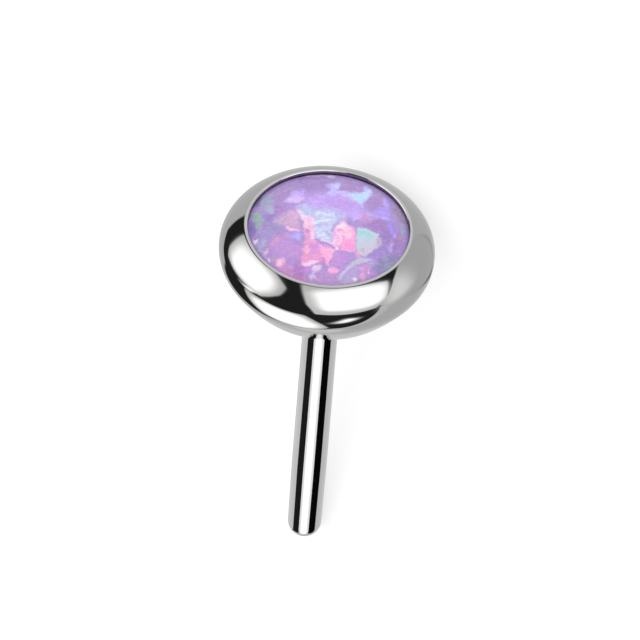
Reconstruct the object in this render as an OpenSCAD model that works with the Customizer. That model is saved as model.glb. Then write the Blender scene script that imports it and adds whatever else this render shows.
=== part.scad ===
// A threadless piercing top: a round polished bezel head with an opal cabochon in front, and a
// straight press-in pin at the back. It lies on its side, as it comes to rest on a table by itself:
// the widest line of the head and the round end of the pin touch the table at z = 0.
//
// The turned pieces are drawn as half outlines [radius, height]. Height 0 is the plane of the
// bezel's lip, and the pin points down from there. An arc of an outline is given by the angle of its
// outward normal above the horizontal, so arcs that follow each other meet without a kink.

/* [Head] */
// Diameter of the head at its widest line
head_d = 3.05; // [2.9:0.01:3.3]
// Depth of the widest line below the lip
widest_depth = 0.443; // [0.43:0.001:0.46]
// Radius of the side above the widest line
shoulder_r = 0.394; // [0.36:0.001:0.42]
// Slope where the shoulder passes into the crown
shoulder_turn = 45; // [42:1:48]
// Radius of the crown, up to the lip
crown_r = 0.943; // [0.9:0.001:1]
// Radius of the side under the widest line
belly_r = 0.422; // [0.38:0.001:0.46]
// Slope where the belly passes into the flank
belly_turn = 32; // [28:1:34]
// Radius of the long flank that narrows to the back
flank_r = 3.238; // [3:0.001:3.5]
// Slope where the flank passes into the back edge
flank_turn = 40; // [38:1:42]
// Radius of the edge round the flat back
back_edge_r = 0.141; // [0.1:0.001:0.18]

/* [Bezel lip and pocket] */
// Diameter of the opening that shows the stone
opening_d = 2.285; // [2.24:0.005:2.32]
// Depth of the lip's upright inner wall
lip_depth = 0.055; // [0.04:0.005:0.1]
// Gap between the stone and the metal, all round
stone_gap = 0.015; // [0.01:0.005:0.03]

/* [Opal] */
// Diameter of the cabochon at its girdle
stone_d = 2.5; // [2.44:0.01:2.56]
// Height of the cabochon, from its flat base to the edge of its dome
stone_body_h = 0.5; // [0.4:0.01:0.6]
// Rise of the dome over the part that shows
dome_rise = 0.18; // [0.12:0.01:0.24]
// Bevel round the flat base
stone_bevel = 0.05; // [0.02:0.01:0.08]

/* [Pin] */
// Diameter of the straight part
pin_d = 0.5; // [0.45:0.01:0.6]
// Length from the flat back to the end
pin_l = 5.06; // [4:0.01:6]
// Diameter at the start of the round end
pin_end_d = 0.48; // [0.42:0.01:0.5]
// Length of the slight taper before the round end
pin_taper_l = 1.15; // [0.5:0.05:1.5]
// Radius of the weld between the pin and the flat back
weld_r = 0.04; // [0.02:0.01:0.08]

/* [Hidden] */
$fn = 180;
// How far a straight step of an outline may lie inside the arc that it follows
arc_error = 0.001;

function toward(angle) = [cos(angle), sin(angle)];
function centre_of(end, radius, angle) = end - radius * toward(angle);
function on_arc(centre, radius, angle) = centre + radius * toward(angle);

// The points of an arc after its first one, which ends the line or arc before it
function arc(centre, radius, from, to) =
    let (step = 2 * acos(1 - arc_error / radius), steps = ceil(abs(to - from) / step))
    [for (i = [1:steps]) on_arc(centre, radius, from + (to - from) * i / steps)];

// Centres of the head's arcs, from its widest line up to the lip
widest = [head_d / 2, -widest_depth];
shoulder_c = centre_of(widest, shoulder_r, 0);
shoulder_top = on_arc(shoulder_c, shoulder_r, shoulder_turn);
crown_c = centre_of(shoulder_top, crown_r, shoulder_turn);
lip_turn = asin(-crown_c.y / crown_r);
lip_outside = on_arc(crown_c, crown_r, lip_turn);

// Centres of the head's arcs, from its widest line down to the flat back
belly_c = centre_of(widest, belly_r, 0);
belly_end = on_arc(belly_c, belly_r, -belly_turn);
flank_c = centre_of(belly_end, flank_r, -belly_turn);
flank_end = on_arc(flank_c, flank_r, -flank_turn);
back_edge_c = centre_of(flank_end, back_edge_r, -flank_turn);
back_z = back_edge_c.y - back_edge_r;

// The stone's shoulder runs under the lip at 45 degrees, with the same gap
opening_r = opening_d / 2;
stone_r = stone_d / 2;
pocket_r = stone_r + stone_gap;
pocket_top = -lip_depth - (pocket_r - opening_r);
dome_edge = [opening_r, -lip_depth] - stone_gap * toward(45);
shoulder_z = dome_edge.y - (stone_r - dome_edge.x);
stone_base = dome_edge.y - stone_body_h;
seat_z = stone_base - stone_gap;
dome_r = (pow(dome_edge.x, 2) + pow(dome_rise, 2)) / (2 * dome_rise);
dome_top = dome_edge.y + dome_rise;

pin_r = pin_d / 2;
pin_end_r = pin_end_d / 2;
pin_end_c = [0, back_z - pin_l + pin_end_r];
taper_top = pin_end_c.y + pin_taper_l;
weld_c = [pin_r + weld_r, back_z - weld_r];

// How it lies: the belly's arc and the pin's round end touch one flat surface
reach = belly_c - pin_end_c;
rest_tilt = atan2(reach.x, reach.y) + asin((belly_r - pin_end_r) / norm(reach));
rest_z = pin_end_r - pin_end_c.y * sin(rest_tilt);
front_x = lip_outside.x * sin(rest_tilt);
end_x = pin_end_c.y * cos(rest_tilt) - pin_end_r;

// The metal's outline goes up the outside, over the lip and down into the pocket. The two arcs that
// touch the surface are drawn in two parts, so that a point of each one lies on it.
function pin_outline() = concat(
    [[0, pin_end_c.y - pin_end_r]],
    arc(pin_end_c, pin_end_r, -90, -rest_tilt),
    arc(pin_end_c, pin_end_r, -rest_tilt, 0),
    [[pin_r, taper_top], [pin_r, weld_c.y]],
    arc(weld_c, weld_r, 180, 90)
);

function head_outline() = concat(
    [[back_edge_c.x, back_z]],
    arc(back_edge_c, back_edge_r, -90, -flank_turn),
    arc(flank_c, flank_r, -flank_turn, -belly_turn),
    arc(belly_c, belly_r, -belly_turn, -rest_tilt),
    arc(belly_c, belly_r, -rest_tilt, 0),
    arc(shoulder_c, shoulder_r, 0, shoulder_turn),
    arc(crown_c, crown_r, shoulder_turn, lip_turn)
);

function pocket_outline() = [
    [opening_r, 0],
    [opening_r, -lip_depth],
    [pocket_r, pocket_top],
    [pocket_r, seat_z],
    [0, seat_z]
];

// The stone under its dome, whose 45 degree roof the dome cuts off
function stone_body_outline() = [
    [0, stone_base],
    [stone_r - stone_bevel, stone_base],
    [stone_r, stone_base + stone_bevel],
    [stone_r, shoulder_z],
    [0, shoulder_z + stone_r]
];

// Lays a piece on its side, with the box of the whole top centred over the origin
module lie_down()
    translate([-(front_x + end_x) / 2, 0, rest_z])
        rotate([0, 90 - rest_tilt, 0])
            children();

// Head and pin, welded into one piece of metal, with the pocket that holds the stone
module bezel_setting()
    color("silver")
        lie_down()
            rotate_extrude()
                polygon(concat(pin_outline(), head_outline(), pocket_outline()));

// The lavender opal, trapped under the lip
module opal_cabochon()
    color("plum")
        lie_down()
            rotate_extrude()
                intersection() {
                    polygon(stone_body_outline());
                    translate([0, dome_top - dome_r]) circle(dome_r);
                }

bezel_setting();
opal_cabochon();
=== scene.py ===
"""Dresses the frame of a threadless piercing top: a polished titanium bezel and pin, and a lavender opal.

The turned pieces are drawn in millimetres on their own axis, as half outlines whose height 0 is the plane of
the bezel's lip, and are then laid down where the frame's solids lie.
"""

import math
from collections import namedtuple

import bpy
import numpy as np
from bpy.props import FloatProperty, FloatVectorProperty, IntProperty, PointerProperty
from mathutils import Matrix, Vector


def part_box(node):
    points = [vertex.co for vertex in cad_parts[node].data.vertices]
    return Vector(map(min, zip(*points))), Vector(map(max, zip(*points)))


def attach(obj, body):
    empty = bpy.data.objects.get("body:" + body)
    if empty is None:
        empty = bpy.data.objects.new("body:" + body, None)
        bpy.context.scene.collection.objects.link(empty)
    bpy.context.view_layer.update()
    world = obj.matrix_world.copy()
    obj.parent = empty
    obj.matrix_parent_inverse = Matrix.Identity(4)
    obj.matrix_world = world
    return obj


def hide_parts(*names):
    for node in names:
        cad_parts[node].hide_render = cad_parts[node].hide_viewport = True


bl_info = {
    "name": "Threadless piercing top",
    "version": (1, 0, 0),
    "blender": (4, 5, 0),
    "location": "3D View > Sidebar > Piercing top",
    "description": "Builds a polished bezel-set piercing top with a lavender opal, and a small studio for it",
    "category": "Add Mesh",
}

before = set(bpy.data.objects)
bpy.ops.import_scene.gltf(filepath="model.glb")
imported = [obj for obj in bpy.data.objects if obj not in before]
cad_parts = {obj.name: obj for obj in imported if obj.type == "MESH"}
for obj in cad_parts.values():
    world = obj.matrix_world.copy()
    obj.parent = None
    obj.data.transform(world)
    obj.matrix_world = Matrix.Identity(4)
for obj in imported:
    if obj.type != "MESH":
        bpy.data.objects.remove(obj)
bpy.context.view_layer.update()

MM = 0.001

# Points of an outline that lie closer together than this are merged, in millimetres
MERGE_MM = 1e-5
# Edges that turn by more than this stay sharp
SHARP_FROM = math.radians(28)
# How far a piece's box may lie off the box of the solid that it stands for, in millimetres
PLACE_ERROR_MM = 0.01

# Steps along each arc of the turned metal, from the pin's end up to the lip, and along the stone's dome
END_STEPS = 36
WELD_STEPS = 12
BACK_EDGE_STEPS = 16
FLANK_STEPS = 16
BELLY_STEPS = 24
SHOULDER_STEPS = 32
CROWN_STEPS = 20
LIP_ROUND_STEPS = 6
DOME_STEPS = 130

# A face belongs to a wall round the axis where its normal, times its place in millimetres, points inwards by
# more than this
WALL_LOOKS_IN = 0.1
# A face belongs to the stone's seat where its normal points up by more than this
SEAT_LOOKS_UP = 0.9

# The light table is a disc of this radius in metres, with this many sides
FLOOR_RADIUS = 0.4
FLOOR_SIDES = 128
# Its pigment clouds are darker by this factor
CLOUD_TONE = 0.97

# The picture is 640 pixels wide. The middle of the lip's circle is seen at this pixel, counted from the
# left and from the top.
PICTURE_PIXELS = 640
LIP_CENTRE_PIXEL = (328.7, 227.7)


def from_hex(code):
    """Linear red, green and blue of an sRGB hex colour."""
    channels = [int(code[i:i + 2], 16) / 255 for i in (1, 3, 5)]
    return [c / 12.92 if c <= 0.04045 else ((c + 0.055) / 1.055) ** 2.4 for c in channels]


class PiercingTopSizes(bpy.types.PropertyGroup):
    """The real sizes of the turned pieces."""

    head_d: FloatProperty(
        name="Head diameter", description="Across the head's widest line",
        default=3.05 * MM, unit="LENGTH", precision=5)
    widest_depth: FloatProperty(
        name="Depth of the widest line", description="From the lip down to the head's widest line",
        default=0.443 * MM, unit="LENGTH", precision=5)
    shoulder_r: FloatProperty(
        name="Shoulder radius", description="Side of the head above its widest line",
        default=0.394 * MM, unit="LENGTH", precision=5)
    shoulder_turn: FloatProperty(
        name="Shoulder slope", description="Where the shoulder passes into the crown",
        default=math.radians(45), subtype="ANGLE")
    crown_r: FloatProperty(
        name="Crown radius", description="Side of the head up to the lip",
        default=0.943 * MM, unit="LENGTH", precision=5)
    belly_r: FloatProperty(
        name="Belly radius", description="Side of the head under its widest line",
        default=0.422 * MM, unit="LENGTH", precision=5)
    belly_turn: FloatProperty(
        name="Belly slope", description="Where the belly passes into the flank",
        default=math.radians(32), subtype="ANGLE")
    flank_r: FloatProperty(
        name="Flank radius", description="Long flank that narrows to the back",
        default=3.238 * MM, unit="LENGTH", precision=5)
    flank_turn: FloatProperty(
        name="Flank slope", description="Where the flank passes into the back edge",
        default=math.radians(40), subtype="ANGLE")
    back_edge_r: FloatProperty(
        name="Back edge radius", description="Edge round the flat back",
        default=0.141 * MM, unit="LENGTH", precision=5)
    opening_d: FloatProperty(
        name="Opening diameter", description="The opening that shows the stone",
        default=2.285 * MM, unit="LENGTH", precision=5)
    lip_depth: FloatProperty(
        name="Lip depth", description="Height of the lip's upright inner wall",
        default=0.055 * MM, unit="LENGTH", precision=5)
    lip_bevel: FloatProperty(
        name="Lip bevel", description="Polished-off inner edge of the lip",
        default=0.008 * MM, unit="LENGTH", precision=5)
    lip_round_r: FloatProperty(
        name="Lip rounding", description="Polished-off outer edge of the lip",
        default=0.05 * MM, unit="LENGTH", precision=5)
    stone_gap: FloatProperty(
        name="Stone gap", description="Gap between the stone and the metal",
        default=0.015 * MM, unit="LENGTH", precision=5)
    stone_d: FloatProperty(
        name="Stone diameter", description="The cabochon's girdle",
        default=2.5 * MM, unit="LENGTH", precision=5)
    stone_body_h: FloatProperty(
        name="Stone height", description="From the stone's flat base to the edge of its dome",
        default=0.5 * MM, unit="LENGTH", precision=5)
    dome_rise: FloatProperty(
        name="Dome rise", description="Height of the dome over the part that shows",
        default=0.18 * MM, unit="LENGTH", precision=5)
    stone_bevel: FloatProperty(
        name="Stone bevel", description="Bevel round the stone's flat base",
        default=0.05 * MM, unit="LENGTH", precision=5)
    pin_d: FloatProperty(
        name="Pin diameter", description="Straight part of the pin",
        default=0.5 * MM, unit="LENGTH", precision=5)
    pin_l: FloatProperty(
        name="Pin length", description="From the flat back to the end of the pin",
        default=5.06 * MM, unit="LENGTH", precision=5)
    pin_end_d: FloatProperty(
        name="Pin end diameter", description="Where the round end starts",
        default=0.48 * MM, unit="LENGTH", precision=5)
    pin_taper_l: FloatProperty(
        name="Taper length", description="Slight taper before the round end",
        default=1.15 * MM, unit="LENGTH", precision=5)
    weld_r: FloatProperty(
        name="Weld radius", description="Between the pin and the flat back",
        default=0.04 * MM, unit="LENGTH", precision=5)
    turns: IntProperty(
        name="Metal segments", description="Steps round the turned metal", default=288)
    stone_turns: IntProperty(
        name="Stone segments", description="Steps round the stone, fine enough to carry its flakes",
        default=560)


class PiercingTopFinish(bpy.types.PropertyGroup):
    """The colours of the materials."""

    titanium: FloatVectorProperty(
        name="Titanium", description="Reflection of the polished metal",
        default=from_hex("#BFBFBF"), size=3, subtype="COLOR")
    floor: FloatVectorProperty(
        name="Floor", description="Matt top of the light table",
        default=from_hex("#BEBEBE"), size=3, subtype="COLOR")


class PiercingTopStudio(bpy.types.PropertyGroup):
    """Where the camera stands, and how bright its surroundings are."""

    spin: FloatProperty(
        name="Spin", description="Turn of the camera's side round the stud's own axis, from straight above",
        default=math.radians(38), subtype="ANGLE")
    rise: FloatProperty(
        name="Rise", description="Camera above the plane of the bezel's lip",
        default=math.radians(45), subtype="ANGLE")
    lean: FloatProperty(
        name="Lean", description="Lean of the stud's axis in the picture",
        default=math.radians(4.72), subtype="ANGLE")
    distance: FloatProperty(
        name="Distance", description="From the camera to the middle of the picture",
        default=200 * MM, unit="LENGTH", precision=4)
    picture_w: FloatProperty(
        name="Picture width", description="Real width of the square picture at the stud",
        default=8.993 * MM, unit="LENGTH", precision=5)
    light: FloatProperty(
        name="Light", description="Strength of the whole studio", default=1.0)


def in_mm(length):
    """A length of the settings as a plain number of millimetres."""
    return length / MM


def toward(angle):
    """Unit step in an outline, at an angle above the level line."""
    return Vector((math.cos(angle), math.sin(angle)))


Arc = namedtuple("Arc", "centre radius start end")


def on_arc(arc, angle):
    """Point of an arc whose outward normal has that angle."""
    return arc.centre + arc.radius * toward(angle)


def next_arc(arc, radius, end):
    """The arc that goes on from another one without a kink."""
    joint = on_arc(arc, arc.end)
    return Arc(joint - radius * toward(arc.end), radius, arc.end, end)


class HeadOutline:
    """The arcs and levels of the turned metal, worked out from its sizes, in millimetres."""

    def __init__(self, sizes):
        widest = Vector((in_mm(sizes.head_d) / 2, -in_mm(sizes.widest_depth)))
        shoulder_r = in_mm(sizes.shoulder_r)
        belly_r = in_mm(sizes.belly_r)
        self.shoulder = Arc(widest - Vector((shoulder_r, 0)), shoulder_r, 0, sizes.shoulder_turn)
        crown = next_arc(self.shoulder, in_mm(sizes.crown_r), 0)
        lip_round_r = in_mm(sizes.lip_round_r)
        rounded_from = math.asin((-lip_round_r - crown.centre.y) / (crown.radius - lip_round_r))
        self.crown = crown._replace(end=rounded_from)
        self.lip_round = next_arc(self.crown, lip_round_r, math.pi / 2)
        self.front_r = on_arc(crown, math.asin(-crown.centre.y / crown.radius)).x
        self.belly = Arc(widest - Vector((belly_r, 0)), belly_r, 0, -sizes.belly_turn)
        self.flank = next_arc(self.belly, in_mm(sizes.flank_r), -sizes.flank_turn)
        self.back_edge = next_arc(self.flank, in_mm(sizes.back_edge_r), -math.pi / 2)
        self.back = self.back_edge.centre.y - self.back_edge.radius
        self.pin_r = in_mm(sizes.pin_d) / 2
        self.end_r = in_mm(sizes.pin_end_d) / 2
        self.end_centre = Vector((0, self.back - in_mm(sizes.pin_l) + self.end_r))
        self.taper_top = self.end_centre.y + in_mm(sizes.pin_taper_l)
        weld_r = in_mm(sizes.weld_r)
        self.weld = Arc(Vector((self.pin_r + weld_r, self.back - weld_r)), weld_r, math.pi, math.pi / 2)
        self.opening_r = in_mm(sizes.opening_d) / 2
        self.lip_depth = in_mm(sizes.lip_depth)
        self.lip_bevel = in_mm(sizes.lip_bevel)
        self.pocket_r = in_mm(sizes.stone_d / 2 + sizes.stone_gap)
        self.pocket_top = -self.lip_depth - (self.pocket_r - self.opening_r)
        stone_gap = in_mm(sizes.stone_gap)
        self.dome_edge = Vector((self.opening_r, -self.lip_depth)) - stone_gap * toward(math.pi / 4)
        self.stone_base = self.dome_edge.y - in_mm(sizes.stone_body_h)
        self.seat = self.stone_base - stone_gap

    def rest_tilt(self):
        """How far the axis rises towards the head, where the belly and the pin's end touch one surface."""
        reach = self.belly.centre - self.end_centre
        return math.atan2(reach.x, reach.y) + math.asin((self.belly.radius - self.end_r) / reach.length)

    def lip_centre(self):
        """Middle of the lip's circle in the frame, in metres, with the whole top centred over the origin."""
        tilt = self.rest_tilt()
        front = self.front_r * math.sin(tilt)
        end = self.end_centre.y * math.cos(tilt) - self.end_r
        return Vector((-(front + end) / 2, 0, self.end_r - self.end_centre.y * math.sin(tilt))) * MM


def sizes_of(context):
    return context.scene.piercing_top_sizes


def select_only(obj):
    """Makes one object the only selected and the active one."""
    bpy.ops.object.select_all(action="DESELECT")
    obj.select_set(True)
    bpy.context.view_layer.objects.active = obj


def start_outline(name, point):
    """Adds an object that holds one vertex, and stays in edit mode to draw on from there."""
    bpy.ops.object.select_all(action="DESELECT")
    bpy.ops.mesh.primitive_plane_add(size=1, location=(0, 0, 0))
    obj = bpy.context.active_object
    obj.name = name
    obj.data.name = name
    bpy.ops.object.mode_set(mode="EDIT")
    bpy.ops.mesh.merge(type="CENTER")
    bpy.ops.transform.translate(value=(point[0], 0, point[1]))
    return obj


def draw_lines(*steps):
    """Draws on by straight lines, each given by how far it goes out and up."""
    for out, up in steps:
        bpy.ops.mesh.extrude_vertices_move(TRANSFORM_OT_translate={"value": (out, 0, up)})


def draw_arc(arc, steps, backwards=False):
    """Draws on along an arc, which the drawing's last point already lies on."""
    sweep = arc.end - arc.start
    if backwards:
        sweep = -sweep
    side = 1 if sweep > 0 else -1
    bpy.ops.mesh.spin(
        steps=steps, angle=abs(sweep), center=(arc.centre.x, 0, arc.centre.y), axis=(0, side, 0),
        use_auto_merge=False)


def turn_outline(obj, turns):
    """Turns the drawn half outline round its axis into a closed skin, and leaves edit mode."""
    bpy.ops.mesh.select_all(action="SELECT")
    bpy.ops.mesh.spin(steps=turns, angle=2 * math.pi, center=(0, 0, 0), axis=(0, 0, 1))
    bpy.ops.mesh.select_all(action="SELECT")
    bpy.ops.mesh.remove_doubles(threshold=MERGE_MM)
    bpy.ops.mesh.normals_make_consistent(inside=False)
    bpy.ops.object.mode_set(mode="OBJECT")
    select_only(obj)
    bpy.ops.object.shade_smooth_by_angle(angle=SHARP_FROM)


def lie_down(obj, outline):
    """Lays a turned piece down as the stud rests, at its real size, with its place in its mesh."""
    turn = Matrix.Rotation(math.pi / 2 - outline.rest_tilt(), 4, "Y")
    obj.matrix_world = Matrix.Translation(outline.lip_centre()) @ turn @ Matrix.Scale(MM, 4)
    select_only(obj)
    bpy.ops.object.transform_apply(location=True, rotation=True, scale=True)


def check_place(obj, node):
    """Raises an error if a piece lies more than a hundredth of a millimetre off the solid it stands for."""
    low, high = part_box(node)
    corners = np.array([v.co for v in obj.data.vertices])
    off = max(np.abs(corners.min(0) - low).max(), np.abs(corners.max(0) - high).max())
    if off > PLACE_ERROR_MM * MM:
        raise RuntimeError(f"{obj.name} lies {off / MM:.3f} mm off {node}")


class Stance:
    """The directions of the stud and of the picture in the frame, and the middle of the lip's circle."""

    def __init__(self, outline, studio):
        tilt = outline.rest_tilt()
        self.axis = Vector((math.cos(tilt), 0, math.sin(tilt)))
        above = Vector((-math.sin(tilt), 0, math.cos(tilt)))
        self.near = math.cos(studio.spin) * above - math.sin(studio.spin) * Vector((0, 1, 0))
        self.across = self.axis.cross(self.near)
        self.camera = math.cos(studio.rise) * self.near + math.sin(studio.rise) * self.axis
        away = math.cos(studio.rise) * self.axis - math.sin(studio.rise) * self.near
        self.up = math.cos(studio.lean) * away - math.sin(studio.lean) * self.across
        self.right = math.sin(studio.lean) * away + math.cos(studio.lean) * self.across
        self.lip_centre = outline.lip_centre()


def seen_in_picture(places, stance, studio):
    """Pixels of the picture at which places of the frame are seen, from its left and its top."""
    pixel = studio.picture_w / PICTURE_PIXELS
    from_lip = places - np.array(stance.lip_centre)
    right = LIP_CENTRE_PIXEL[0] + from_lip @ np.array(stance.right) / pixel
    down = LIP_CENTRE_PIXEL[1] - from_lip @ np.array(stance.up) / pixel
    return np.stack((right, down), axis=1)


# The opal's flakes of colour, charted as the camera sees them. Places are pixels of the picture,
# from its left and its top. A zone is a soft patch with its middle, half sizes and turn, a flake has an
# outline and may fade into a second colour towards one side, and a vein is a line. Later ones lie over the
# earlier ones. A flake's grain is the share of the stone's lamellae and specks that show in it.
# Some zones and veins paint light and shade into the stone's colour: shade along the left rim, a haze of
# mirrored light across the middle, and highlights and reflections along the far and right rims.
Zone = namedtuple("Zone", "name colour middle reach turn")
Flake = namedtuple("Flake", "name colour soft outline fade grain", defaults=(None, 1.0))
Vein = namedtuple("Vein", "name colour width path")

STONE_BASE = "#AE92D2"
ZONES = (
    Zone("top", "#A388C5", (312, 182), (24, 9), 0),
    Zone("upper left", "#A68CC4", (283, 191), (17, 8), 25),
    Zone("left", "#A884C8", (278, 213), (9, 9), 0),
    Zone("left middle", "#9A80C8", (270, 218), (6, 5), 0),
    # Painted reflection: the broad lighter violet across the middle stands in for a soft haze of light
    # mirrored in the dome
    Zone("broad violet", "#C4A6F2", (330, 203), (32, 11), 0),
    Zone("broad violet, right", "#C3A0EB", (343, 208), (17, 10), 0),
    Zone("between the wings", "#AF8EC8", (350, 187), (13, 5), -8),
    Zone("right of the wings", "#AC8CC8", (375, 203), (9, 8), -30),
    Zone("under the right cluster", "#A682C3", (377, 225), (14, 6), -8),
    Zone("right", "#9E80C2", (390, 240), (12, 16), 10),
    Zone("middle right", "#BCA4EC", (358, 213), (10, 6), 0),
    Zone("bottom", "#BA97CE", (324, 279), (19, 8), 0),
    Zone("lower left", "#C098D6", (283, 247), (18, 10), -20),
    Zone("left edge", "#A5A0CD", (260, 246), (8, 9), 30),
    Zone("low left rose", "#CC92CE", (288, 271), (13, 7), -30),
    Zone("low left violet", "#B380C5", (299, 271), (6, 9), 0),
    Zone("low right", "#928BB8", (385, 263), (13, 8), 35),
    Zone("low right edge", "#9AA0BE", (389, 267), (7, 4), 40),
    # Painted shade: darker violet along the stone's left rim, next to the lip
    Zone("left rim", "#8C78BE", (253, 228), (4, 8), 0),
    Zone("left grey violet", "#A292C4", (272, 227), (11, 6), 0),
    Zone("left periwinkle", "#A898D0", (268, 236), (10, 6), 0),
    # Painted shade: darker violet where the stone meets the lip at the upper left
    Zone("upper left rim", "#8B76A6", (258, 202), (6, 3), 55),
    Zone("right rim", "#A08CAE", (400, 214), (5, 13), 30),
    Zone("rose by the column", "#C494D4", (298, 252), (7, 7), 0),
    Zone("under the pink facet", "#B090D6", (360, 262), (6, 4), 0),
    Zone("right of the mint", "#A488CE", (380, 252), (12, 6), 30),
)
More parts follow.
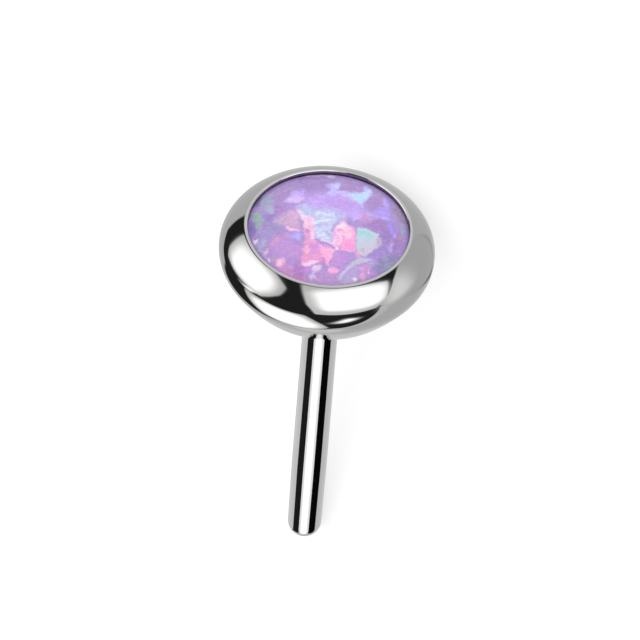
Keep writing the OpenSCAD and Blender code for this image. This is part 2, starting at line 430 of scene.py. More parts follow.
FLAKES = (
    Flake("bright violet patch", "#BCA2F4", 3, (
        (304, 190), (292, 191), (288, 198), (285, 200.5), (290, 202.5), (298, 202.5), (303, 200),
        (304, 195)), ("#E2C6FA", -90)),
    Flake("blue grey patch", "#A2A8C6", 3, (
        (262, 196), (268, 193.5), (273, 194), (273.5, 214), (268.5, 213.5), (262, 209.5), (260, 203))),
    Flake("light dab on it", "#AEB2D0", 2, (
        (267, 206), (273, 206), (274, 213.5), (270, 214), (266.5, 210))),
    Flake("green patch", "#95B2AE", 2.5, (
        (252.5, 213.5), (258, 212), (262, 217), (264, 221), (260.5, 223.5), (260, 229.5), (256.5, 231),
        (255.5, 225), (252.5, 220.5))),
    Flake("brightest green", "#8BBCA0", 2.5, (
        (254.5, 213.5), (258, 214.5), (259.5, 218.5), (256.5, 219.5), (254.5, 216.5))),
    Flake("pale upper field", "#BEBBEE", 5, (
        (297, 205), (304, 203.5), (311, 206), (322, 207), (334, 208), (345, 213), (347, 219), (338, 223),
        (332, 226), (332, 236), (329, 243), (316, 238), (313, 226), (300, 216), (297, 210))),
    Flake("pale blue field", "#B7C1EC", 2.5, (
        (297.4, 205.2), (304.3, 204.6), (311.2, 208.6), (320.4, 211), (330.7, 212), (337.6, 216.7),
        (337.6, 220), (331.8, 224.7), (330.7, 229.3), (333, 234), (331.8, 239.6), (329.5, 243),
        (325, 240.8), (320.4, 238.5), (315.8, 236.2), (314.6, 229.3), (315.2, 222.4), (313.5, 217.8),
        (309, 215.5), (304.3, 214.4), (299, 210)), ("#C5D7F1", -60)),
    Flake("fish, tail and body", "#BCB8FA", 2, (
        (326, 184.5), (332, 183), (340, 182), (340, 187), (337.5, 190), (350, 192), (359.5, 193),
        (364, 191), (363.5, 187), (366.5, 185), (372, 188), (373.5, 192), (371, 196), (367.5, 198),
        (366.5, 201.5), (363.5, 203.5), (363, 207), (359.5, 205), (355, 201.5), (350, 198.5),
        (343.5, 195.5), (337.5, 193.5), (332, 196), (328.5, 195.5), (326, 193), (330.5, 190.5),
        (329, 187.5))),
    Flake("fish, lilac middle", "#CDBCFA", 2, (
        (330, 191), (338, 190.5), (350, 192.5), (350, 197.5), (338, 193.5), (331, 195))),
    Flake("fish, blue head", "#BCE4FE", 3, (
        (351, 193), (360, 193.5), (365, 191), (369, 190), (370, 195), (366, 199), (361, 202.5),
        (354, 199.5), (349.5, 196))),
    Flake("fish, blue in the tail", "#C8D2FE", 2.5, ((332, 184.5), (339, 183.5), (338.5, 188), (334, 189))),
    Flake("right cluster", "#B59BF2", 2.5, (
        (382.5, 198.5), (386, 200.5), (389, 206), (390, 215.5), (391.5, 220), (388, 219.5), (381, 215.5),
        (375.5, 214.5), (374, 211), (378, 208), (386, 206), (383.5, 203))),
    Flake("light point of the cluster", "#BCB0FA", 2, (
        (384, 198), (386, 199.5), (388.5, 205.5), (386, 206.5), (384, 202.5))),
    Flake("rosy lobe", "#CE9ED8", 4, (
        (361.5, 213), (366, 211.5), (372, 213.5), (374, 218), (370, 221), (362, 221), (359.5, 217))),
    Flake("lilac above it", "#C8AEFA", 3, ((350, 215), (356, 210.5), (362, 212), (360, 218.5), (353, 221))),
    Flake("violet streak", "#A98EF2", 2, (
        (387.5, 221.5), (390.5, 221.5), (394, 229), (397, 235), (396.5, 238.5), (394, 238.5), (391.5, 234),
        (388.5, 229.3))),
    Flake("its light end", "#C0AEFF", 1.5, ((394, 233.5), (396.5, 235.5), (396, 238.5), (393.5, 237))),
    Flake("lilac dash", "#C2A6EA", 2.5, (
        (389.2, 246), (391, 242.5), (393.3, 243), (391.5, 252.2), (389.2, 253), (388.2, 250))),
    Flake("sea green at the rim", "#98A8C0", 3, (
        (400.5, 226), (404, 225), (405.5, 230), (404.5, 236.5), (401, 237), (400, 231))),
    Flake("rose at the rim", "#B484B0", 3, (
        (397, 236), (400.5, 235), (402, 239), (399.5, 244), (397.5, 241))),
    Flake("dull pink facet", "#C2A8CE", 3.5, (
        (273.3, 219), (283.6, 212), (292, 209.5), (297.4, 208), (298.5, 214.4), (299.7, 222.4),
        (300.8, 229.3), (298.5, 231), (290.5, 229.3), (286, 225.8), (278, 224.7), (273.3, 222.4)),
        ("#D0A6CC", 0)),
    Flake("its pink upper side", "#D6ACD4", 3, (
        (290, 211), (296.5, 211), (297.5, 219), (293, 220.5), (288.5, 217))),
    Flake("its bright lower edge", "#FAC6EC", 1.5, (
        (285.5, 225.5), (290.5, 228), (298.5, 229.8), (299, 231.6), (290.5, 230.4), (286, 228.4))),
    Flake("white pink diagonal", "#F8E2F2", 2.5, (
        (297.4, 209.8), (301, 211), (304.3, 215.5), (309, 216), (313.5, 217.8), (315, 222.4),
        (311.2, 222.4), (306.6, 220), (303, 220), (300, 215.5))),
    Flake("pink column, top", "#F5C8E2", 2, (
        (303, 219), (309, 217.2), (314.6, 220), (315.2, 227), (313.5, 231), (304.3, 231), (303.5, 225))),
    Flake("pink column, middle", "#E5A4CF", 2.5, (
        (304, 227.5), (314, 227.5), (314.6, 239.6), (316.5, 243), (305.5, 243), (305.4, 238.5))),
    Flake("white flank of the column", "#FAD2EC", 2, (
        (312, 228), (314.5, 229), (315, 239), (311.5, 241.5), (310.5, 234))),
    Flake("dark spot in it", "#D28ABC", 1.5, ((305, 229.5), (309.5, 230), (309, 232.5), (305.5, 232))),
    Flake("pink column, lower", "#E79ED2", 2.5, (
        (304, 242), (316, 240.5), (320.4, 244.2), (321.5, 252.2), (322.7, 256.8), (320.4, 262.6),
        (313.5, 262.6), (309, 263.7), (302, 266), (300.8, 260.3), (302.6, 256.8), (304.3, 252.2),
        (304.3, 246))),
    Flake("rose between", "#D896D8", 2.5, ((311, 244), (318.5, 244), (320, 252), (314, 254), (310, 249))),
    Flake("warm pink dab", "#F4AACE", 2.5, (
        (303.5, 247), (308.5, 246), (309.5, 252.5), (306, 254.5), (303.5, 251.5))),
    Flake("warm pink band", "#EE9BCC", 2, (
        (302, 256.5), (309, 255.5), (317, 256.5), (320.5, 259), (317, 261), (308, 260), (302, 261))),
    Flake("upper white streak", "#F8D1ED", 1.5, (
        (301.5, 262.5), (304.5, 263.5), (314.6, 260), (318, 261), (313.5, 264.5), (304.3, 266.8))),
    Flake("lower white streak", "#E4CCEA", 2, (
        (311.2, 267), (320.4, 264.5), (322.5, 266), (319.2, 270.6), (315, 272), (312.5, 270.5))),
    Flake("white at the rim", "#CCC4E8", 2, ((309, 275.5), (315.5, 275.2), (316, 279), (309.5, 278.5))),
    Flake("violet between", "#C48CDA", 2.5, ((304, 268), (311, 266.5), (311.5, 271.5), (306, 272))),
    Flake("rose at the low rim", "#D480C0", 2, (
        (296, 278.5), (304, 278), (309, 279.8), (305, 281.2), (298, 280.6))),
    Flake("pink triangle", "#FAAED9", 2, (
        (319.2, 245), (324, 246), (331, 248), (336.4, 251), (331.8, 259), (328.4, 265.5), (325, 263.7),
        (321.5, 256.8)), ("#FEBBE3", 30), 0.5),
    Flake("violet facet", "#C498D6", 2, (
        (337.6, 250), (354.8, 252.2), (352.5, 256.8), (346.8, 262.6), (341, 266), (331.8, 266),
        (330.7, 261.4), (333, 256.8), (336.4, 252.2)), ("#B294D2", 30)),
    Flake("rose glow in it", "#CC94E0", 4, (
        (334, 256), (343, 254), (345, 260), (338, 263.5), (333.5, 262)), None, 0.6),
    Flake("pink facet", "#F8B4DC", 1.8, (
        (334, 229.3), (337.6, 224.7), (343.3, 221.3), (348, 224.7), (355.4, 229), (356.2, 238.5),
        (355.4, 250.5), (349, 250.2), (341, 248.2), (336.5, 247.9), (331.8, 244.2), (333.6, 238.5)),
        ("#F99BD5", -45)),
    Flake("its white peak", "#FFE4F0", 3, (
        (336.5, 226.5), (343.3, 221.5), (348, 225.5), (344, 229), (337, 230))),
    Flake("its pale middle", "#FDC8DF", 4, ((344, 228), (352, 230.5), (352, 237), (346, 238), (343, 233))),
    Flake("its lilac side", "#F2C6EC", 2.5, (
        (331.5, 242), (335, 236), (338, 236), (337.5, 244), (335, 246.5))),
    Flake("small pink patch", "#F8AADC", 2, (
        (328, 267.5), (333, 267), (337.6, 268.8), (339.3, 271.8), (334, 273.5), (328.4, 273))),
    Flake("mint facet", "#BADFE1", 1.8, (
        (356.8, 234), (358.2, 228.2), (361.7, 227.6), (369.7, 231), (377.8, 234.2), (379.5, 238.5),
        (382.3, 244.2), (377.8, 247.2), (371, 251.7), (365.7, 256.3), (361.7, 256), (357, 252.8),
        (356, 245.4)), ("#D0CADA", -60), 0.3),
    Flake("mint top", "#A0DDDC", 3.5, (
        (359, 229.5), (364, 229.5), (374, 234.5), (372, 238.5), (364, 236.5), (359.5, 236)), None, 0.3),
    Flake("pale right corner of it", "#B9B7CA", 2, (
        (378, 237), (380, 239), (382, 244.2), (378, 246.8), (376, 242)), None, 0.4),
    Flake("pink strip under it", "#DCA4D0", 2, (
        (355, 253), (358, 252.5), (362, 256), (360, 258), (355.5, 257))),
    Flake("pale wedge", "#C3C6DB", 2, (
        (337.6, 278.5), (343.3, 271), (350.2, 263.9), (357, 259), (364, 257.6), (369.7, 259.5),
        (378.5, 263.7), (372, 263.9), (366.3, 262.4), (359.4, 263.4), (352.5, 266.8), (346.8, 271.4),
        (342.2, 277.5), (340, 281)), None, 0.4),
    Flake("bright end of the wedge", "#DCC0F0", 2, (
        (343, 271), (349.5, 266.5), (350, 268.5), (345.5, 272), (342, 275))),
    Flake("grey violet under it", "#B8A8D8", 3, (
        (346, 274), (352, 268.5), (358, 266), (358.5, 272), (356, 280.5), (344, 282), (342.5, 279.5))),
    Flake("rose under it", "#D09CD2", 3, (
        (358.5, 266.5), (364, 264.5), (368, 265.5), (367.5, 271), (360, 271.5))),
    Flake("pink near the rim", "#E5AAD1", 2, (
        (361, 272), (364.5, 272), (366, 279), (362, 281.5), (359.5, 277.5))),
    Flake("lilac beside it", "#C090D4", 2.5, (
        (367, 269), (371, 268), (373, 275), (369, 278.5), (366.5, 274))),
    Flake("white dot at the rim", "#F2EEF6", 1.5, (
        (352.5, 278.5), (356, 278), (357, 280.2), (353.5, 281.4))),
    Flake("pale low rim", "#BEB9D7", 2.5, ((341, 281.5), (352, 281), (352, 283), (342, 283.8))),
    Flake("rosy blob", "#E2A4CA", 3, (
        (271, 241.5), (273.5, 238), (278, 237), (279.5, 239.5), (275, 242.5), (271.5, 244))),
    Flake("rose beside it", "#C496D2", 3, (
        (278, 236), (284, 234), (290, 233.5), (289.5, 237), (283, 239.5), (279, 239.5))),
    Flake("periwinkle patch", "#B6AEFC", 3.5, (
        (291.5, 233.5), (300, 232), (301.5, 236), (299, 239.5), (292, 239))),
    Flake("pale blue slope", "#B0AEDC", 3, (
        (258, 245), (263, 239.5), (266, 240), (264.5, 246), (260, 250.5))),
    Flake("pink speck, left", "#EEC0DA", 2, (
        (263.2, 252.5), (267.6, 248.8), (268.4, 252.2), (265.3, 255.5))),
    Flake("white speck, left", "#F2E4F2", 1.2, (
        (252.2, 240.6), (257.8, 239.6), (258, 242), (255.4, 245.4))),
    Flake("white speck, low left", "#FAEDFC", 1.2, (
        (266.2, 258.5), (268.5, 258), (271, 261), (269.6, 262.6))),
    Flake("warm cluster", "#F2B4D8", 2.5, (
        (274.5, 263), (279, 258.5), (284, 258), (285.3, 262.6), (282.5, 266.8), (277, 266.5))),
    Flake("bright in the cluster", "#FFCAE2", 1.5, (
        (277.5, 261.5), (280.8, 260), (281.5, 264.5), (278.5, 265.5))),
    Flake("dull slope by the cluster", "#C4A0C4", 3, (
        (270, 258), (274.5, 257.5), (274.5, 263.5), (271, 262.5))),
)
VEINS = (
    Vein("line along the far rim, left", "#B4A0D0", 1.2, (
        (268, 197), (276, 190), (286, 184.5), (298, 180))),
    Vein("second line", "#AF9BCD", 1.0, ((273, 198), (281, 192.5), (292, 187.5))),
    Vein("third line", "#B09CD2", 1.0, ((264, 194), (273, 187.5), (283, 182.5), (294, 178.5))),
    # Painted highlight: the thin light line along the stone's far rim, from the top round to the right, where
    # the dome's edge mirrors the lamps
    Vein("painted highlight at the far rim", "#CCBEDC", 1.2, ((306, 175.6), (318, 175), (327, 175), (335, 176))),
    Vein("painted glint at the far rim", "#D6D0EE", 1.6, ((329.5, 175.8), (334, 177))),
    Vein("painted highlight above the wings", "#ACA2C8", 1.8, (
        (336, 177.3), (346, 178.2), (356, 180.6), (364, 184))),
    Vein("painted highlight on the rim, right", "#A8A4C4", 1.4, ((369, 186.2), (376, 190.2), (384, 195.6))),
    Vein("blue line in the cluster", "#B2AEF4", 2.2, ((368, 213.5), (376, 216), (382, 217.2), (388, 219))),
    # Painted reflection: pale streaks along the stone's right rim, where its steep edge mirrors a softbox
    Vein("painted reflection at the right rim", "#AE9EC8", 1.4, (
        (392.5, 203), (397, 208), (402, 214.5), (404.5, 219.5))),
    Vein("second painted reflection there", "#A494B8", 1.2, ((391, 209), (396, 215.5), (399, 219))),
    Vein("dark line under the patch", "#AA90D2", 1.2, ((287, 204), (297, 204), (305, 201.8))),
    Vein("ice line 1", "#DAEAFF", 1.6, ((318, 212.5), (326, 214.5), (334, 214))),
    Vein("ice line 2", "#DCECFF", 1.8, ((313, 222.8), (321, 221), (330, 220))),
    Vein("ice line 3", "#CFDDFA", 1.6, ((316, 230), (323, 228), (330, 228.5))),
    Vein("ice line 4", "#D8E8FC", 1.6, ((319, 236), (325, 233.5), (330, 235.5))),
    Vein("violet line", "#BCB4E6", 1.6, ((314, 226), (322, 225), (330, 224.5))),
    Vein("violet spot", "#B8AEDA", 2.4, ((327.5, 232.5), (329.5, 236))),
    Vein("white edge of the pale field", "#F0DCF4", 1.4, ((321, 239.5), (326, 241.6), (331, 243.6))),
    Vein("dark edge under it", "#B690CC", 1.3, ((315, 239.5), (321, 241.5), (328, 244.5), (334.5, 248))),
    Vein("edge of the violet facet", "#B494CC", 1.2, ((336.5, 250.5), (332.5, 257), (330, 262.5))),
    Vein("white spark", "#FFE6FA", 1.8, ((336.2, 248), (337.2, 248.8))),
    Vein("dots in the pink facet 1", "#E49ACA", 1.5, ((338, 230.5), (340.5, 229), (342, 230))),
    Vein("dots in the pink facet 2", "#EEA4D0", 1.5, ((339, 235.5), (340.5, 238.5), (343.5, 237))),
    Vein("dots in the pink facet 3", "#E89CCA", 1.4, ((339.5, 242.5), (341, 245.5))),
    Vein("light dots in it", "#FFE0F2", 1.4, ((336.5, 233), (340, 234.5), (341, 241), (338.5, 244.5))),
    Vein("lower edge of the pink facet", "#FFB4E2", 1.6, ((341, 249.2), (348, 250.6), (354, 251))),
    Vein("mint upper edge", "#C6DCE6", 1.2, ((359, 228.2), (369, 231.4), (378, 235))),
    Vein("grey dot in the mint facet", "#BDB8C4", 2.4, ((362.5, 250), (363.4, 250.3))),
    Vein("dark edge in the mint facet", "#BCA6BE", 1.2, ((377, 240), (379, 243.5))),
    Vein("light line, low right", "#A098CC", 1.2, ((368, 261.5), (374, 262.5), (380, 264.5))),
    Vein("light fleck in the rose", "#D8C4F2", 1.2, ((368.5, 270), (368.8, 273))),
    Vein("dark edge of the pink triangle", "#CE7CB8", 1.4, ((323.5, 258), (325, 264))),
    Vein("pale line at the left rim", "#C0B4DC", 1.2, ((259, 248), (263, 254), (268, 260))),
    Vein("light dab under the streak", "#D6BCEC", 1.4, ((311.5, 276), (313, 272.5))),
    Vein("rosy rim, lower left", "#C888B8", 1.6, ((284, 274.5), (290, 277.5), (297, 280))),
)

# A zone ends at this many of its half sizes, and fades out over so many of them
ZONE_END = 1.35
ZONE_FADE = 0.8
# A flake's edge fades over this many times its softness
FLAKE_FADE = 1.7
# A vein ends at this many of its widths from its line, and covers what lies under it by this share at most
VEIN_END = 1.2
VEIN_COVER = 0.8

# The waves that fray the charted edges: how far each one moves a place, in pixels, how fast it turns per
# pixel to the right and down, and where it starts, in radians
Wave = namedtuple("Wave", "size right down start")
SIDEWAYS_WAVES = (Wave(0.5, 0.3, 0.8, 0.3), Wave(0.25, -0.4, 2.1, 1.9), Wave(0.12, 0.7, 4.6, 4.0))
DOWNWARD_WAVES = (Wave(0.35, 0.6, -0.5, 2.6), Wave(0.22, 1.7, 0.8, 0.7), Wave(0.1, 4.1, 2.3, 5.1))


def smooth(x):
    """Rises from 0 to 1 without a kink."""
    x = np.clip(x, 0, 1)
    return x * x * (3 - 2 * x)


def distance_to(points, path):
    """Distance of each point from the nearest of the lines that join the places of a path."""
    nearest = np.full(len(points), np.inf)
    for start, end in zip(path[:-1], path[1:]):
        start = np.array(start)
        step = np.array(end) - start
        along = np.clip((points - start) @ step / (step @ step), 0, 1)
        off = points - start - along[:, None] * step
        nearest = np.minimum(nearest, np.hypot(off[:, 0], off[:, 1]))
    return nearest


def inside(points, outline):
    """Whether each point lies within a closed outline."""
    within = np.zeros(len(points), bool)
    for start, end in zip(outline, outline[1:] + outline[:1]):
        if start[1] == end[1]:
            continue
        beside = (start[1] > points[:, 1]) != (end[1] > points[:, 1])
        crossing = start[0] + (points[:, 1] - start[1]) * (end[0] - start[0]) / (end[1] - start[1])
        within ^= beside & (points[:, 0] < crossing)
    return within


def sway(points, waves):
    """How far some waves move each place, in pixels."""
    right, down = points.T
    return sum(wave.size * np.sin(wave.right * right + wave.down * down + wave.start) for wave in waves)


def ragged(points):
    """Moves places a little, most of all sideways, so that the charted edges come out frayed."""
    right, down = points.T
    return np.stack((right + sway(points, SIDEWAYS_WAVES), down + sway(points, DOWNWARD_WAVES)), axis=1)


def chart_colours(points):
    """Linear colours and the grain of the stone at places of the picture, from the chart."""
    points = ragged(points)
    colours = np.tile((*from_hex(STONE_BASE), 1.0), (len(points), 1))
    for zone in ZONES:
        turn = math.radians(zone.turn)
        right, down = (points - np.array(zone.middle)).T
        along = (right * math.cos(turn) - down * math.sin(turn)) / zone.reach[0]
        over = (right * math.sin(turn) + down * math.cos(turn)) / zone.reach[1]
        cover = smooth((ZONE_END - np.hypot(along, over)) / ZONE_FADE)[:, None]
        colours += cover * (np.array((*from_hex(zone.colour), 1.0)) - colours)
    for flake in FLAKES:
        outline = np.array(flake.outline)
        near = np.all((points > outline.min(0) - flake.soft) & (points < outline.max(0) + flake.soft), axis=1)
        spots = points[near]
        depth = distance_to(spots, flake.outline + flake.outline[:1])
        depth[~inside(spots, flake.outline)] *= -1
        colour = np.array((*from_hex(flake.colour), flake.grain))
        if flake.fade:
            turn = math.radians(flake.fade[1])
            way = np.array((math.cos(turn), -math.sin(turn)))
            reach = outline @ way
            faded = smooth((spots @ way - reach.min()) / (reach.max() - reach.min()))[:, None]
            colour = colour + faded * (np.array((*from_hex(flake.fade[0]), flake.grain)) - colour)
        cover = smooth(depth / (FLAKE_FADE * flake.soft) + 0.5)[:, None]
        colours[near] += cover * (colour - colours[near])
    for vein in VEINS:
        off = distance_to(points, vein.path)
        cover = VEIN_COVER * smooth(VEIN_END - off / vein.width)[:, None]
        colours[:, :3] += cover * (np.array(from_hex(vein.colour)) - colours[:, :3])
    return colours


def add_node(tree, kind, inputs=(), **settings):
    """Adds a node with its settings. Its inputs are values, or the sockets that they come from."""
    node = tree.nodes.new(kind)
    for name, value in settings.items():
        setattr(node, name, value)
    for name, value in dict(inputs).items():
        if isinstance(value, bpy.types.NodeSocket):
            tree.links.new(value, node.inputs[name])
        else:
            node.inputs[name].default_value = value
    return node


def new_material(name):
    """An empty node material, with its tree."""
    material = bpy.data.materials.new(name)
    material.use_nodes = True
    material.node_tree.nodes.clear()
    return material, material.node_tree


def axial_frame(tree, stance, source):
    """A place or direction on the stud's own axes: towards the camera's side, across, and up the axis."""
    along = [
        add_node(tree, "ShaderNodeVectorMath", {0: source, 1: way}, operation="DOT_PRODUCT").outputs["Value"]
        for way in (stance.near, stance.across, stance.axis)]
    return add_node(tree, "ShaderNodeCombineXYZ", dict(enumerate(along))).outputs["Vector"]


def polished_titanium(colour, stance):
    """Implant-grade titanium, turned and then mirror polished."""
    material, tree = new_material("polished_titanium")
    place = add_node(tree, "ShaderNodeTexCoord")
    # Buffing leaves a faint uneven haze, a few tenths of a millimetre across, that softens some reflections
    haze = add_node(
        tree, "ShaderNodeTexNoise",
        {"Vector": place.outputs["Object"], "Scale": 1 / (0.35 * MM), "Detail": 3.0})
    gloss = add_node(
        tree, "ShaderNodeMapRange", {"Value": haze.outputs["Fac"], "To Min": 0.015, "To Max": 0.06})
    # The thin oxide film on titanium makes it a trace darker and warmer in places
    film = add_node(
        tree, "ShaderNodeTexNoise",
        {"Vector": place.outputs["Object"], "Scale": 1 / (1.2 * MM), "Detail": 2.0})
    tone = add_node(
        tree, "ShaderNodeMixRGB",
        {"Fac": film.outputs["Fac"], "Color1": (*colour, 1), "Color2": (*from_hex("#BCBBBA"), 1)})
    # Hairlines of the last polish run round the axis, two hundredths of a millimetre apart, and barely show
    axial = axial_frame(tree, stance, place.outputs["Object"])
    rings = add_node(
        tree, "ShaderNodeMapping", {"Vector": axial, "Scale": (0.04, 0.04, 1.0)})
    hairlines = add_node(
        tree, "ShaderNodeTexNoise",
        {"Vector": rings.outputs["Vector"], "Scale": 1 / (0.02 * MM), "Detail": 2.0})
    relief = add_node(
        tree, "ShaderNodeBump",
        {"Height": hairlines.outputs["Fac"], "Strength": 0.02, "Distance": 0.001 * MM})
    shader = add_node(
        tree, "ShaderNodeBsdfPrincipled",
        {"Base Color": tone.outputs["Color"], "Metallic": 1.0, "Roughness": gloss.outputs["Result"],
         "Normal": relief.outputs["Normal"]})
    add_node(tree, "ShaderNodeOutputMaterial", {"Surface": shader.outputs["BSDF"]})
    return material


def shaded_pocket():
    """The pocket's wall under the lip, left as turned: no polish reaches it, so it stays dull, and its colour
    is darkened as a painted shade of the recess.
    """
    material, tree = new_material("shaded_pocket")
    place = add_node(tree, "ShaderNodeTexCoord")
    # Cutting marks and dried polish of about three hundredths of a millimetre, mottling the two darkened
    # tones of the painted shade
    marks = add_node(
        tree, "ShaderNodeTexNoise",
        {"Vector": place.outputs["Object"], "Scale": 1 / (0.03 * MM), "Detail": 3.0})
    tone = add_node(
        tree, "ShaderNodeMixRGB",
        {"Fac": marks.outputs["Fac"], "Color1": (*from_hex("#8A8092"), 1),
         "Color2": (*from_hex("#A097A6"), 1)})
    shader = add_node(
        tree, "ShaderNodeBsdfPrincipled",
        {"Base Color": tone.outputs["Color"], "Metallic": 1.0, "Roughness": 0.55})
    add_node(tree, "ShaderNodeOutputMaterial", {"Surface": shader.outputs["BSDF"]})
    return material


def lavender_opal(stance):
    """Synthetic opal, cut as a low cabochon and polished."""
    material, tree = new_material("lavender_opal")
    place = add_node(tree, "ShaderNodeTexCoord")
    flakes = add_node(tree, "ShaderNodeAttribute", attribute_name="flakes")
    axial = axial_frame(tree, stance, place.outputs["Object"])
    # Every flake is a stack of fine lamellae, which shows as streaks about 0.08 mm long and 0.02 mm wide
    laid = add_node(tree, "ShaderNodeMapping", {"Vector": axial, "Scale": (1.0, 0.28, 1.0)})
    lamellae = add_node(
        tree, "ShaderNodeTexNoise",
        {"Vector": laid.outputs["Vector"], "Scale": 1 / (0.03 * MM), "Detail": 3.0, "Roughness": 0.6})
    streaks = add_node(
        tree, "ShaderNodeMapRange",
        {"Value": lamellae.outputs["Fac"], "From Min": 0.3, "From Max": 0.7, "To Min": -0.1, "To Max": 0.09})
    streak = add_node(
        tree, "ShaderNodeMath", {0: streaks.outputs["Result"], 1: flakes.outputs["Alpha"], 2: 1.0},
        operation="MULTIPLY_ADD")
    # Domains of 0.1 mm turn a little towards blue or rose
    domains = add_node(
        tree, "ShaderNodeTexNoise", {"Vector": axial, "Scale": 1 / (0.1 * MM), "Detail": 2.0})
    tint = add_node(
        tree, "ShaderNodeMixRGB",
        {"Fac": domains.outputs["Fac"], "Color1": (*from_hex("#F0F4FF"), 1),
         "Color2": (*from_hex("#FFF0F8"), 1)})
    tinted = add_node(
        tree, "ShaderNodeMixRGB",
        {"Fac": 1.0, "Color1": flakes.outputs["Color"], "Color2": tint.outputs["Color"]},
        blend_type="MULTIPLY")
    streaked = add_node(
        tree, "ShaderNodeVectorMath", {0: tinted.outputs["Color"], "Scale": streak.outputs["Value"]},
        operation="SCALE")
    # Specks of 0.04 mm inside the flakes flash almost white, and hardly any outside them
    specks = add_node(
        tree, "ShaderNodeTexNoise", {"Vector": axial, "Scale": 1 / (0.045 * MM), "Detail": 2.0})
    flash = add_node(
        tree, "ShaderNodeMapRange",
        {"Value": specks.outputs["Fac"], "From Min": 0.45, "From Max": 0.75, "To Min": 0.0, "To Max": 1.0})
    bright = add_node(tree, "ShaderNodeRGBToBW", {"Color": flakes.outputs["Color"]})
    amount = add_node(
        tree, "ShaderNodeMapRange",
        {"Value": bright.outputs["Val"], "From Min": 0.4, "From Max": 0.6, "To Min": 0.12, "To Max": 0.42})
    flashing = add_node(
        tree, "ShaderNodeMath", {0: flash.outputs["Result"], 1: amount.outputs["Result"]},
        operation="MULTIPLY")
    share = add_node(
        tree, "ShaderNodeMath", {0: flashing.outputs["Value"], 1: flakes.outputs["Alpha"]},
        operation="MULTIPLY")
    colour = add_node(
        tree, "ShaderNodeMixRGB",
        {"Fac": share.outputs["Value"], "Color1": streaked.outputs["Vector"],
         "Color2": (*from_hex("#FFF2FF"), 1)})
    shader = add_node(
        tree, "ShaderNodeBsdfPrincipled",
        {"Base Color": colour.outputs["Color"], "Roughness": 0.35, "IOR": 1.45, "Coat Weight": 0.4,
         "Coat Roughness": 0.04})
    add_node(tree, "ShaderNodeOutputMaterial", {"Surface": shader.outputs["BSDF"]})
    return material


def light_table(colour, strength):
    """Cast milk acrylic with a matt top, lit softly from below."""
    material, tree = new_material("milk_acrylic")
    place = add_node(tree, "ShaderNodeTexCoord")
    # The pigment is spread a trace unevenly, in clouds of 2 mm
    clouds = add_node(
        tree, "ShaderNodeTexNoise",
        {"Vector": place.outputs["Object"], "Scale": 1 / (2 * MM), "Detail": 2.0})
    tone = add_node(
        tree, "ShaderNodeMixRGB",
        {"Fac": clouds.outputs["Fac"], "Color1": (*colour, 1),
         "Color2": (*[c * CLOUD_TONE for c in colour], 1)})
    shader = add_node(
        tree, "ShaderNodeBsdfPrincipled",
        {"Base Color": tone.outputs["Color"], "Roughness": 0.9, "Emission Color": (1, 1, 1, 1),
         "Emission Strength": TABLE_LEVEL * strength})
    add_node(tree, "ShaderNodeOutputMaterial", {"Surface": shader.outputs["BSDF"]})
    return material


class PIERCINGTOP_OT_bezel(bpy.types.Operator):
    """Turns the bezel head and its pin from one outline, in polished titanium"""

    bl_idname = "piercing_top.bezel"
    bl_label = "Bezel and pin"

    def execute(self, context):
        sizes = sizes_of(context)
        outline = HeadOutline(sizes)
        end = Arc(outline.end_centre, outline.end_r, -math.pi / 2, 0)
        bevel = outline.lip_bevel
        obj = start_outline("titanium_bezel", on_arc(end, end.start))
        draw_arc(end, END_STEPS)
        draw_lines(
            (outline.pin_r - outline.end_r, outline.taper_top - outline.end_centre.y),
            (0, outline.weld.centre.y - outline.taper_top))
        draw_arc(outline.weld, WELD_STEPS)
        draw_lines((outline.back_edge.centre.x - outline.weld.centre.x, 0))
        draw_arc(outline.back_edge, BACK_EDGE_STEPS, backwards=True)
        draw_arc(outline.flank, FLANK_STEPS, backwards=True)
        draw_arc(outline.belly, BELLY_STEPS, backwards=True)
        draw_arc(outline.shoulder, SHOULDER_STEPS)
        draw_arc(outline.crown, CROWN_STEPS)
        draw_arc(outline.lip_round, LIP_ROUND_STEPS)
        lip_edge = on_arc(outline.lip_round, outline.lip_round.end)
        draw_lines(
            (outline.opening_r + bevel - lip_edge.x, 0),
            (-bevel, -bevel),
            (0, bevel - outline.lip_depth),
            (outline.pocket_r - outline.opening_r, outline.pocket_top + outline.lip_depth),
            (0, outline.seat - outline.pocket_top),
            (-outline.pocket_r, 0))
        turn_outline(obj, sizes.turns)
        stance = Stance(outline, context.scene.piercing_top_studio)
        obj.data.materials.append(polished_titanium(context.scene.piercing_top_finish.titanium, stance))
        obj.data.materials.append(shaded_pocket())
        # The pocket's walls and the seat under the stone take the darkened metal, a painted shade of the
        # recess
        for face in obj.data.polygons:
            faces_axis = face.normal.xy.dot(face.center.xy) < -WALL_LOOKS_IN
            is_seat = face.normal.z > SEAT_LOOKS_UP and face.center.z < outline.stone_base
            if is_seat or (faces_axis and face.center.z < -bevel):
                face.material_index = 1
        lie_down(obj, outline)
        check_place(obj, "bezel_setting")
        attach(obj, "root")
        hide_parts("bezel_setting")
        return {"FINISHED"}


